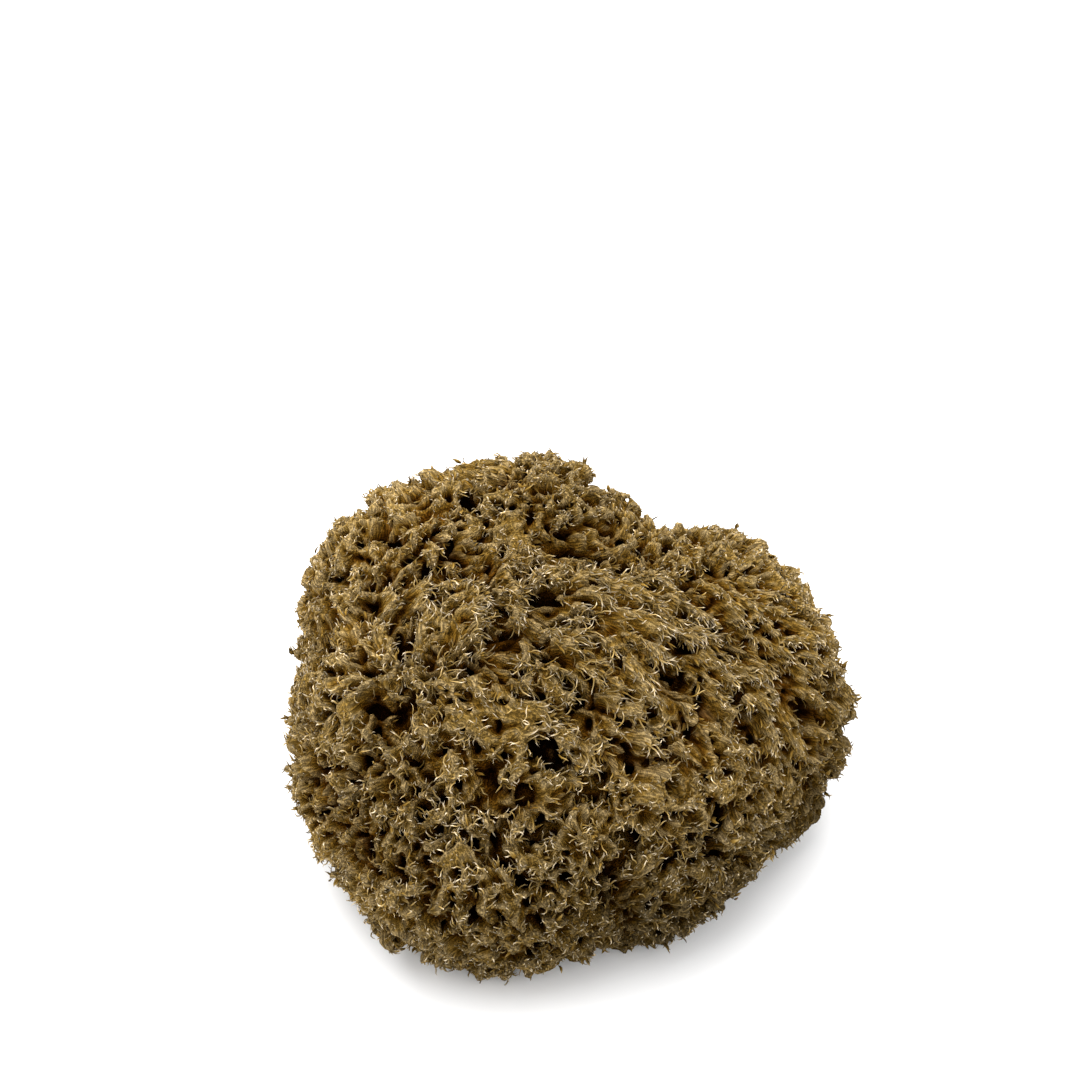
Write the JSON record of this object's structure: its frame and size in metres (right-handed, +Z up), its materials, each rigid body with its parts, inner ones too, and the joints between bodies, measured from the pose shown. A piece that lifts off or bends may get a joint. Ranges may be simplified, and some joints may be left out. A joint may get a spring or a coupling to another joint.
{
  "type": "sea sponge",
  "caption": "Lobed, cushion-shaped natural bath sponge of tufted fibres with canal openings, cut off flat underneath.",
  "frame": {"origin": "middle of the sponge seen from above, in the plane of the flat cut base", "axes": "+X to the right seen from the front, along the longest extent; +Y to the back; +Z up from the cut base, along the shortest extent"},
  "size_m": [0.1518, 0.1414, 0.0891],
  "materials": {
    "sponge_fibre": "dry, matt, unbleached brown spongin fibre; paler straw at the fibre tips, red-brown in the hollows"
  },
  "bodies": {
    "root": {"sponge": "sponge_fibre"}
  },
  "joints": []
}
